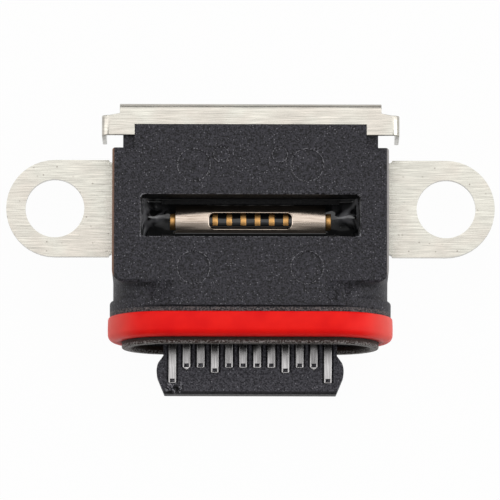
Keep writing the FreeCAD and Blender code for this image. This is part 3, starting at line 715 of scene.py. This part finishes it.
class Piece:
    """A mesh of the object in millimetres, which becomes a Blender object in metres."""

    def __init__(self, name: str, slot: Slot, node: str) -> None:
        """Starts an empty piece.

        Args:
            name: What a maker would call the piece.
            slot: The record's slot of its finish; it is kept on the piece but not used.
            node: The frame's node that the piece stands for.
        """
        self.name = name
        self.slot = slot
        self.node = node
        self.bm = bmesh.new()

    def from_node(self, cuts_x: tuple[float, ...] = ()) -> None:
        """Takes over the shape of the piece's node, merged and free of needless edges.

        Args:
            cuts_x: Places across where a flat face round a hole is cut, so that it has a clean outline.
        """
        bm = self.bm
        bm.from_mesh(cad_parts[self.node].data)
        bmesh.ops.scale(bm, vec=(1 / MM,) * 3, verts=bm.verts)
        bmesh.ops.remove_doubles(bm, verts=bm.verts, dist=MERGE)
        for x in cuts_x:
            everything = bm.verts[:] + bm.edges[:] + bm.faces[:]
            cut = bmesh.ops.bisect_plane(
                bm, geom=everything, dist=CUT, plane_co=(x, 0, 0), plane_no=(1, 0, 0)
            )
            for edge in edges_of(cut["geom_cut"]):
                edge.seam = True
        bmesh.ops.dissolve_limit(
            bm, angle_limit=math.radians(FLAT_TURN), verts=bm.verts, edges=bm.edges, delimit={"SEAM"}
        )

    def break_edges(self, width: float, segments: int = 2, sharper_than: float = 30.0) -> None:
        """Bevels the outer edges, as moulding, cutting or tumbling leaves them.

        Args:
            width: How far the bevel reaches from the edge.
            segments: How many faces it has.
            sharper_than: The least turn of an edge that is bevelled, in degrees.
        """
        least = math.radians(sharper_than)
        joints = (e for e in self.bm.edges if len(e.link_faces) == 2)
        edges = [e for e in joints if e.calc_face_angle_signed(0) > least]
        bmesh.ops.bevel(
            self.bm,
            geom=edges,
            offset=width,
            offset_type="OFFSET",
            segments=segments,
            profile=0.5,
            affect="EDGES",
            clamp_overlap=True,
            material=-1,
        )

    def finish(self, material: bpy.types.Material, sharp_from: float | None = 50.0) -> bpy.types.Object:
        """Makes the object, gives it its finish and ties it to the frame.

        Args:
            material: The finish.
            sharp_from: The turn in degrees from which an edge is shaded sharp, or None where none is.

        Returns:
            The finished object.
        """
        bm = self.bm
        bmesh.ops.recalc_face_normals(bm, faces=bm.faces)
        bmesh.ops.scale(bm, vec=(MM,) * 3, verts=bm.verts)
        for face in bm.faces:
            face.smooth = True
        mesh = bpy.data.meshes.new(self.name)
        bm.to_mesh(mesh)
        bm.free()
        mesh.materials.append(material)
        piece = bpy.data.objects.new(self.name, mesh)
        bpy.context.scene.collection.objects.link(piece)
        if sharp_from is not None:
            mesh.set_sharp_from_angle(angle=math.radians(sharp_from))
            weighting = piece.modifiers.new("flat faces stay flat", "WEIGHTED_NORMAL")
            weighting.weight = 100
            weighting.keep_sharp = True
            cutting = piece.modifiers.new("true corners", "TRIANGULATE")
            cutting.min_vertices = 5
            cutting.keep_custom_normals = True
        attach(piece, BODY)
        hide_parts(self.node)
        logging.info("%s: %d faces", self.name, len(mesh.polygons))
        return piece


@dataclass
class MouldedHousing:
    """The black moulding: block, neck, flange, collar and shelf, with the burrs round its ejector marks."""

    edge: float = 0.015
    burr_width: float = 0.045
    burr_height: float = 0.010
    burr_root: float = 0.01
    burr_steps: int = 64

    def build(self) -> None:
        """Makes the housing."""
        moulding = Piece("moulded_housing", Slot.HOUSING, "housing")
        moulding.from_node()
        moulding.break_edges(self.edge)
        for mark in MARKS:
            for x in (-mark.x, mark.x):
                self._add_burr(moulding.bm, x, mark.y, mark.radius)
        moulding.finish(DustAndPaintedLightPolymer("glass_filled_polyamide").material())

    def _add_burr(self, bm: bmesh.types.BMesh, x: float, y: float, radius: float) -> None:
        """Adds the fine ring that an ejector pin raised round its mark.

        Args:
            bm: The housing's mesh.
            x: The mark's place across.
            y: The mark's place along.
            radius: The mark's radius.
        """
        inner = radius - self.burr_width
        low, high = BLOCK_TOP - self.burr_root, BLOCK_TOP + self.burr_height
        corners = ((inner, low), ((inner + radius) / 2, high), (radius, low))
        profile = [bm.verts.new((x + r, y, z)) for r, z in corners]
        edges = [bm.edges.new((a, b)) for a, b in zip(profile, profile[1:] + profile[:1])]
        bmesh.ops.spin(
            bm,
            geom=profile + edges,
            cent=(x, y, 0),
            axis=(0, 0, 1),
            angle=math.tau,
            steps=self.burr_steps,
            use_merge=True,
        )


@dataclass
class SealRing:
    """The red ring, swept round the collar with a soft crown and a broad round in front."""

    wall: float = 0.50
    front_round: float = 0.25
    rear_round: float = 0.08
    crown: float = 0.012
    crown_back: float = 0.25
    front_steps: int = 8
    rear_steps: int = 5
    end_steps: int = 40

    def build(self) -> None:
        """Makes the ring from half a profile turned round each end."""
        low, high = (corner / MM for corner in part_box("seal_ring"))
        middle_z = (low.z + high.z) / 2
        radius = (high.z - low.z) / 2
        straight = high.x - radius
        ring = Piece("red_seal_ring", Slot.SEAL, "seal_ring")
        bm = ring.bm
        outline = [
            (radius - self.wall, high.y),
            (radius - self.wall, low.y),
            (radius - self.crown, low.y),
            (radius, low.y + self.front_round + (high.y - low.y) * self.crown_back),
            (radius - self.crown, high.y),
        ]
        corners = [bm.verts.new((straight, y, r)) for r, y in outline]
        bm.faces.new(corners)
        rounds = (
            (corners[2], self.front_round, self.front_steps),
            (corners[4], self.rear_round, self.rear_steps),
        )
        for corner, width, steps in rounds:
            bmesh.ops.bevel(
                bm, geom=[corner], offset=width, segments=steps, profile=0.5, affect="VERTICES", material=-1
            )
        bmesh.ops.delete(bm, geom=bm.faces[:], context="FACES_ONLY")
        profile = bm.verts[:] + bm.edges[:]
        turned = bmesh.ops.spin(
            bm, geom=profile, cent=(straight, 0, 0), axis=(0, 1, 0), angle=math.pi, steps=self.end_steps
        )
        ends = edges_of(profile) + edges_of(turned["geom_last"])
        drawn = bmesh.ops.extrude_edge_only(bm, edges=ends)["geom"]
        bmesh.ops.translate(bm, vec=(-straight, 0, 0), verts=verts_of(drawn))
        bmesh.ops.mirror(bm, geom=bm.verts[:] + bm.edges[:] + bm.faces[:], axis="X", merge_dist=MERGE)
        bmesh.ops.remove_doubles(bm, verts=bm.verts, dist=MERGE)
        bmesh.ops.translate(bm, vec=(0, 0, middle_z), verts=bm.verts)
        ring.finish(SiliconeRubber().material(), sharp_from=None)


@dataclass
class FoldedSteel:
    """The two folded sheets: the bracket with its ears and the cover over the tails."""

    bracket_edge: float = 0.03
    cover_edge: float = 0.02
    cover_pit: float = 1.2

    def build(self) -> None:
        """Makes both sheets."""
        bracket = Piece("ear_bracket", Slot.BRACKET, "mounting_bracket")
        low, high = (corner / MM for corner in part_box("mounting_bracket"))
        hole_x = high.x - (high.y - low.y) / 2
        bracket.from_node(cuts_x=(-hole_x, hole_x))
        bracket.break_edges(self.bracket_edge)
        bracket.finish(RolledStainless("cold_rolled_stainless_strip").material())
        cover = Piece("tail_cover", Slot.COVER, "rear_cover")
        cover.from_node()
        cover.break_edges(self.cover_edge)
        cover.finish(RolledStainless("cold_rolled_stainless_sheet", pit_mm=self.cover_pit).material())


@dataclass
class ContactTongue:
    """The tongue with its two rows of contacts, its plates and the insulators behind it."""

    tongue_edge: float = 0.02
    contact_edge: float = 0.03
    plate_edge: float = 0.02
    blade_top: float = 1.55
    scar_at: Pair = (-2.70, -6.60)
    scar_size: tuple[float, float, float] = (0.27, 0.17, 0.14)
    scar_lumps: float = 0.30
    scar_fractal: tuple[float, float, int] = (0.7, 2.1, 4)
    scar_swell: float = 0.9
    scar_spread: float = 0.22
    scar_least: float = 0.1
    scar_detail: int = 5
    pip_size: tuple[float, float, float] = (0.15, 0.10, 0.10)
    pip_from_tip: float = 0.10
    pointed_pip_from_tip: float = 0.195
    pointed_pair: tuple[str, str] = ("contact_a02", "contact_a11")
    block_round: float = 0.4
    window_half: Pair = (1.467, 0.29)
    window_y: float = -0.73
    window_corner: float = 0.18
    window_burr: float = 0.018
    burr_shoulder: float = 0.7
    window_steps: int = 8
    window_clear: float = 0.3
    above_plate: float = 10.0
    witness_y: float = -6.095
    witness_half: float = 0.015
    witness_sunk: float = 0.02
    witness_rise: float = 0.01
    witness_runs: tuple[Pair, ...] = ((-2.3, -1.25), (-0.72, 0.35), (1.65, 2.45))

    def build(self) -> None:
        """Makes the tongue, its contacts and what holds them."""
        tongue = Piece("moulded_tongue", Slot.TONGUE, "tongue_body")
        tongue.from_node()
        tongue.break_edges(self.tongue_edge)
        self._add_gate_scar(tongue.bm)
        self._add_pips(tongue.bm)
        self._add_witness_line(tongue.bm)
        tongue.finish(GatedPolymer("liquid_crystal_polymer").material())
        self._contacts()
        self._plates()
        insulator = GlassFilledPolymer(
            "insulator_polymer", dark="#050506", light="#141416", speck_share=0.04
        ).material()
        for node in ("upper_carrier", "lower_carrier"):
            self._dress(node, insulator)

    def _add_gate_scar(self, bm: bmesh.types.BMesh) -> None:
        """Adds the rough flat lump that the mould's gate left at one corner of the tip.

        Args:
            bm: The tongue's mesh.
        """
        lump = bmesh.ops.create_icosphere(bm, subdivisions=self.scar_detail, radius=1.0)["verts"]
        for vert in lump:
            rough = noise.fractal(vert.co / self.scar_lumps, *self.scar_fractal)
            vert.co.z *= max(self.scar_least, 1 + self.scar_swell * rough)
            vert.co.xy *= 1 + self.scar_spread * rough
        bmesh.ops.scale(bm, vec=self.scar_size, verts=lump)
        bmesh.ops.translate(bm, vec=(*self.scar_at, self.blade_top), verts=lump)

    def _add_block(self, bm: bmesh.types.BMesh, low: Vector, high: Vector) -> None:
        """Adds a small moulded block with broken edges.

        Args:
            bm: The tongue's mesh.
            low: Its lowest corner.
            high: Its highest corner.
        """
        block = bmesh.ops.create_cube(bm, size=1.0)["verts"]
        size = high - low
        middle = (low + high) / 2
        bmesh.ops.scale(bm, vec=size, verts=block)
        bmesh.ops.translate(bm, vec=middle, verts=block)
        upper = {v for v in block if v.co.z > middle.z}
        edges = [e for v in upper for e in v.link_edges if e.other_vert(v) in upper]
        bmesh.ops.bevel(
            bm,
            geom=list(set(edges)),
            offset=min(size) * self.block_round,
            offset_type="OFFSET",
            segments=2,
            profile=0.5,
            affect="EDGES",
            material=-1,
        )

    def _add_pips(self, bm: bmesh.types.BMesh) -> None:
        """Adds the pips that fill the holes in the contacts' tips.

        Args:
            bm: The tongue's mesh.
        """
        for node in (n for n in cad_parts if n.startswith("contact_a")):
            low, high = (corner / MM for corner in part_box(node))
            middle = (low.x + high.x) / 2
            y = low.y + (self.pointed_pip_from_tip if node in self.pointed_pair else self.pip_from_tip)
            size = Vector(self.pip_size)
            corner = Vector((middle - size.x / 2, y - size.y / 2, self.blade_top - size.z))
            self._add_block(bm, corner, corner + size)

    def _add_witness_line(self, bm: bmesh.types.BMesh) -> None:
        """Adds the broken line that a joint in the mould left across the tongue.

        Args:
            bm: The tongue's mesh.
        """
        for start, end in self.witness_runs:
            low = (start, self.witness_y - self.witness_half, self.blade_top - self.witness_sunk)
            high = (end, self.witness_y + self.witness_half, self.blade_top + self.witness_rise)
            self._add_block(bm, Vector(low), Vector(high))

    def _contacts(self) -> None:
        """Makes every contact of both rows."""
        plating = PlatedPhosphorBronze().material()
        for node in sorted(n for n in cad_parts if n.startswith("contact_")):
            contact = Piece(node.replace("contact", "strip"), Slot.CONTACT, node)
            contact.from_node()
            contact.break_edges(self.contact_edge)
            contact.finish(plating)

    def _plates(self) -> None:
        """Makes the plate in the tongue and the two shield plates."""
        nickel = NickelledSheet().material()
        for node in ("upper_shield_plate", "lower_shield_plate"):
            plate = Piece(node.replace("shield_plate", "shield"), Slot.SHIELD, node)
            plate.from_node(cuts_x=(0.0,))
            plate.break_edges(self.plate_edge)
            if node.startswith("upper"):
                self._add_window_burr(plate.bm)
            plate.finish(nickel)
        self._dress("mid_plate", nickel)

    def _add_window_burr(self, bm: bmesh.types.BMesh) -> None:
        """Adds the fine bright burr that the punch raised round the window.

        Args:
            bm: The plate's mesh.
        """
        plate = BVHTree.FromBMesh(bm)
        burr = bmesh.new()
        size = self.window_burr
        centre_x, centre_y = (half - self.window_corner for half in self.window_half)
        start_x = centre_x + self.window_corner + size
        shoulder = self.burr_shoulder * size
        section = ((-size, -size), (-shoulder, shoulder), (0, size), (shoulder, shoulder), (size, -size))
        corners = [burr.verts.new((start_x + out, centre_y, up)) for out, up in section]
        ring = [burr.edges.new(pair) for pair in zip(corners, corners[1:] + corners[:1])]
        long_side, short_side = Vector((2 * centre_x, 0, 0)), Vector((0, 2 * centre_y, 0))
        turns = ((1, 1, -long_side), (-1, 1, -short_side), (-1, -1, long_side), (1, -1, short_side))
        for side_x, side_y, straight in turns:
            turned = bmesh.ops.spin(
                burr,
                geom=ring,
                cent=(side_x * centre_x, side_y * centre_y, 0),
                axis=(0, 0, 1),
                angle=math.pi / 2,
                steps=self.window_steps,
            )
            ends = edges_of(turned["geom_last"])
            drawn = bmesh.ops.extrude_edge_only(burr, edges=ends)["geom"]
            ring = edges_of(drawn)
            bmesh.ops.translate(burr, vec=straight, verts=verts_of(drawn))
        bmesh.ops.remove_doubles(burr, verts=burr.verts, dist=MERGE)
        long_edges = [e for e in burr.edges if e.calc_length() > self.window_corner]
        bmesh.ops.subdivide_edges(burr, edges=long_edges, cuts=self.window_steps)
        bmesh.ops.translate(burr, vec=(0, self.window_y, 0), verts=burr.verts)
        for vert in burr.verts:
            beside = Vector((self.window_half[0] + self.window_clear, vert.co.y, self.above_plate))
            vert.co.z += plate.ray_cast(beside, Vector((0, 0, -1)))[0].z
        raised = bpy.data.meshes.new("window_burr")
        burr.to_mesh(raised)
        burr.free()
        bm.from_mesh(raised)
        bpy.data.meshes.remove(raised)

    def _dress(self, node: str, material: bpy.types.Material) -> None:
        """Gives a node of the frame its finish and leaves its shape."""
        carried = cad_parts[node]
        carried.data.materials.clear()
        carried.data.materials.append(material)


@dataclass
class SealingPool:
    """The epoxy in the slot: drawn up at its ends, over the shield's foot and round the contacts."""

    step: float = 0.025
    level: float = 0.18
    end_rise: float = 0.45
    end_reach: Pair = (0.32, 0.95)
    end_reach_y: float = -0.52
    end_reach_spread: float = 0.28
    wall_rise: float = 0.50
    wall_reach: float = 0.20
    side_rise: float = 0.10
    side_reach: float = 0.10
    bank_half_width: float = 2.68
    bank_rise: float = 0.31
    bank_y: float = -1.09
    bank_ramp: float = 0.05
    web_half_width: float = 1.55
    web_rise: float = 0.22
    web_y: float = -0.72
    web_reach: float = 0.45
    crest_y: float = -0.62
    crest_rise: float = 0.155
    front_fall: float = 0.25
    rear_fall: float = 0.12
    lump_size: float = 0.40
    lump_height: float = 0.035

    def ends(self, x: float, y: float, high: Vector) -> float:
        """How far the epoxy stands up beside the shield, where it climbs the ends of the slot.

        Args:
            x: The place across.
            y: The place along.
            high: The pool's highest corner.

        Returns:
            The rise in millimetres.
        """
        from_wall = high.x - abs(x)
        least, most = self.end_reach
        middle = math.exp(-(((y - self.end_reach_y) / self.end_reach_spread) ** 2))
        to_end = max(0.0, 1 - from_wall / (least + (most - least) * middle))
        to_wall = max(0.0, 1 - from_wall / self.wall_reach)
        fall = self.rear_fall if y > self.crest_y else self.front_fall
        crest = max(0.0, self.crest_rise - fall * abs(y - self.crest_y))
        lump = 1 + self.lump_height / self.crest_rise * noise.noise(Vector((x, y, 0.0)) / self.lump_size)
        return self.end_rise * to_end**2 * lump + self.wall_rise * to_wall**2 + crest * lump

    def height(self, x: float, y: float, low: Vector, high: Vector) -> float:
        """How far the surface stands above its level middle.

        Args:
            x: The place across.
            y: The place along.
            low: The pool's lowest corner.
            high: The pool's highest corner.

        Returns:
            The rise in millimetres.
        """
        to_side = max(0.0, 1 - min(y - low.y, high.y - y) / self.side_reach)
        rise = self.side_rise * to_side**2
        if abs(x) < self.web_half_width:
            rise = max(rise, self.web_rise * (1 - ((y - self.web_y) / self.web_reach) ** 2))
        else:
            rise += self.ends(x, y, high)
        if abs(x) < self.bank_half_width:
            over_foot = min(1.0, max(0.0, (self.bank_y - y) / self.bank_ramp))
            rise = max(rise, over_foot**0.5 * (self.bank_rise - self.front_fall * (self.bank_y - y)))
        return rise

    def build(self) -> None:
        """Makes the pool from a grid that is lifted at its rim and closed below."""
        low, high = (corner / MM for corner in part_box("slot_sealant"))
        pool = Piece("epoxy_pool", Slot.SEALANT, "slot_sealant")
        bm = pool.bm
        columns = round((high.x - low.x) / self.step)
        rows = round((high.y - low.y) / self.step)
        bmesh.ops.create_grid(bm, x_segments=columns, y_segments=rows, size=0.5)
        bmesh.ops.scale(bm, vec=(high.x - low.x, high.y - low.y, 1), verts=bm.verts)
        bmesh.ops.translate(bm, vec=((low.x + high.x) / 2, (low.y + high.y) / 2, 0), verts=bm.verts)
        rim = [e for e in bm.edges if e.is_boundary]
        for vert in bm.verts:
            vert.co.z = low.z + self.level + self.height(vert.co.x, vert.co.y, low, high)
        skirt = bmesh.ops.extrude_edge_only(bm, edges=rim)["geom"]
        for vert in verts_of(skirt):
            vert.co.z = low.z
        bmesh.ops.holes_fill(bm, edges=edges_of(skirt), sides=0)
        pool.finish(EpoxyCompound().material(low.z + self.level), sharp_from=None)


@dataclass
class Studio:
    """A white floor, a bright surround, soft lamps at both sides and a broad key behind.

    A lamp has a name, an azimuth and an elevation in degrees, a width and a share of the plain level. The
    surround as a mirror sees it has three ranges: each gives its start, its end and the level at both.
    """

    elevation: float = 82.0
    roll: float = 0.14
    distance: float = 300.0
    sensor: float = 36.0
    seen_width: float = 17.737
    aim: tuple[float, float, float] = (-0.014, -1.615, 1.2)
    clips: Pair = (10.0, 10000.0)
    paper: str = "#dcdad8"
    paper_roughness: float = 0.9
    paper_specular: float = 0.1
    floor_half: float = 400.0
    floor_glow: float = 0.97
    lamps: tuple[tuple[str, float, float, float, float], ...] = (
        ("lamp_left", -90.0, 32.0, 280.0, 0.34),
        ("lamp_right", 90.0, 32.0, 280.0, 0.64),
        ("lamp_key", 180.0, 57.0, 420.0, 0.67),
    )
    lamp_distance: float = 300.0
    surround_light: float = 0.16
    overhead: tuple[float, float, float, float] = (0.82, 0.96, 1.0, 0.72)
    front: tuple[float, float, float, float] = (-0.45, -0.10, 0.22, 1.0)
    behind: tuple[float, float, float, float] = (0.55, 0.85, 1.0, 0.3)

    def build(self) -> None:
        """Makes the camera, the floor, the surround and the lamps."""
        self._camera()
        self._floor()
        self._surround()
        for lamp in self.lamps:
            self._lamp(*lamp)

    def _camera(self) -> None:
        """Makes the camera with the photograph's view."""
        data = bpy.data.cameras.new("camera")
        data.sensor_width = self.sensor
        data.lens = self.sensor * self.distance / self.seen_width
        data.clip_start, data.clip_end = (clip * MM for clip in self.clips)
        camera = bpy.data.objects.new("camera", data)
        bpy.context.scene.collection.objects.link(camera)
        tilt = math.radians(self.elevation)
        back = Vector((0, -math.cos(tilt), math.sin(tilt)))
        camera.location = (Vector(self.aim) + back * self.distance) * MM
        camera.rotation_mode = "QUATERNION"
        upright = (-back).to_track_quat("-Z", "Y")
        camera.rotation_quaternion = upright @ Quaternion((0, 0, 1), math.radians(self.roll))
        bpy.context.scene.camera = camera

    def _floor(self) -> None:
        """Makes the floor, which shows white but keeps the object's shadow."""
        s = Surface("floor_paper")
        paper = s.add(
            "BsdfPrincipled",
            {
                "Base Color": linear(self.paper),
                "Roughness": self.paper_roughness,
                "Specular IOR Level": self.paper_specular,
            },
        )
        seen = s.add("LightPath", output="Is Camera Ray")
        mirrored = s.add("LightPath", output="Is Glossy Ray")
        passed = s.add("LightPath", output="Is Transmission Ray")
        sharp = s.add("Math", {0: mirrored, 1: passed}, operation="MAXIMUM")
        any_of_them = s.add("Math", {0: seen, 1: sharp}, operation="MAXIMUM")
        share = s.add("Math", {0: any_of_them, 1: self.floor_glow}, operation="MULTIPLY")
        glow = s.add("Emission", {"Color": WHITE, "Strength": 1.0})
        mixed = s.add("MixShader", {0: share, 1: paper, 2: glow})
        s.add("OutputMaterial", {"Surface": mixed})
        bm = bmesh.new()
        bmesh.ops.create_grid(bm, x_segments=1, y_segments=1, size=self.floor_half * MM)
        bmesh.ops.translate(bm, vec=(0, 0, CAD_BOX[0].z), verts=bm.verts)
        mesh = bpy.data.meshes.new("floor")
        bm.to_mesh(mesh)
        bm.free()
        mesh.materials.append(s.material)
        floor = bpy.data.objects.new("floor", mesh)
        bpy.context.scene.collection.objects.link(floor)

    def _surround(self) -> None:
        """Makes the world. A mirror sees it bright at the sides, and darker overhead, in front and behind."""
        world = bpy.data.worlds.new("surround")
        bpy.context.scene.world = world
        world.use_nodes = True
        world.node_tree.nodes.clear()
        add = functools.partial(add_node, world.node_tree)
        direction = add("TexCoord", output="Generated")
        back = add("SeparateXYZ", {"Vector": direction}, output="Y")
        up = add("SeparateXYZ", {"Vector": direction}, output="Z")
        mirrored = 1.0
        for value, limits in ((back, self.front), (back, self.behind), (up, self.overhead)):
            part = add("MapRange", ramp(value, *limits))
            mirrored = add("Math", {0: mirrored, 1: part}, operation="MULTIPLY")
        glossy = add("LightPath", output="Is Glossy Ray")
        passed = add("LightPath", output="Is Transmission Ray")
        sharp = add("Math", {0: glossy, 1: passed}, operation="MAXIMUM")
        soft = add(
            "Mix",
            {0: sharp, NUMBER_A: self.surround_light, NUMBER_B: mirrored},
            data_type="FLOAT",
        )
        seen = add("LightPath", output="Is Camera Ray")
        level = add("Mix", {0: seen, NUMBER_A: soft, NUMBER_B: 1.0}, data_type="FLOAT")
        glow = add("Background", {"Color": WHITE, "Strength": level})
        add("OutputWorld", {"Surface": glow})

    def _lamp(self, name: str, azimuth: float, elevation: float, size: float, share: float) -> None:
        """Adds a square softbox that points at the object.

        Args:
            name: The lamp's name.
            azimuth: Where it stands, 0 in front, 90 to the right and 180 behind, in degrees.
            elevation: Its height above the horizon, in degrees.
            size: Its width.
            share: The share of the plain level that it gives a face turned to it.
        """
        data = bpy.data.lights.new(name, "AREA")
        data.size = size * MM
        distance = self.lamp_distance * MM
        data.energy = math.pi**2 * distance**2 * share
        lamp = bpy.data.objects.new(name, data)
        bpy.context.scene.collection.objects.link(lamp)
        turn, lift = math.radians(azimuth), math.radians(elevation)
        towards = Vector((math.sin(turn) * math.cos(lift), -math.cos(turn) * math.cos(lift), math.sin(lift)))
        lamp.location = towards * distance
        lamp.rotation_mode = "QUATERNION"
        lamp.rotation_quaternion = (-towards).to_track_quat("-Z", "Y")


def main() -> None:
    """Builds the studio and the pieces in order, and notes the sizes."""
    logging.basicConfig(level=logging.INFO, format="%(message)s")
    bpy.context.scene.view_settings.view_transform = "Standard"
    Studio().build()
    MouldedHousing().build()
    SealRing().build()
    FoldedSteel().build()
    ContactTongue().build()
    SealingPool().build()


if __name__ == "__main__":
    main()
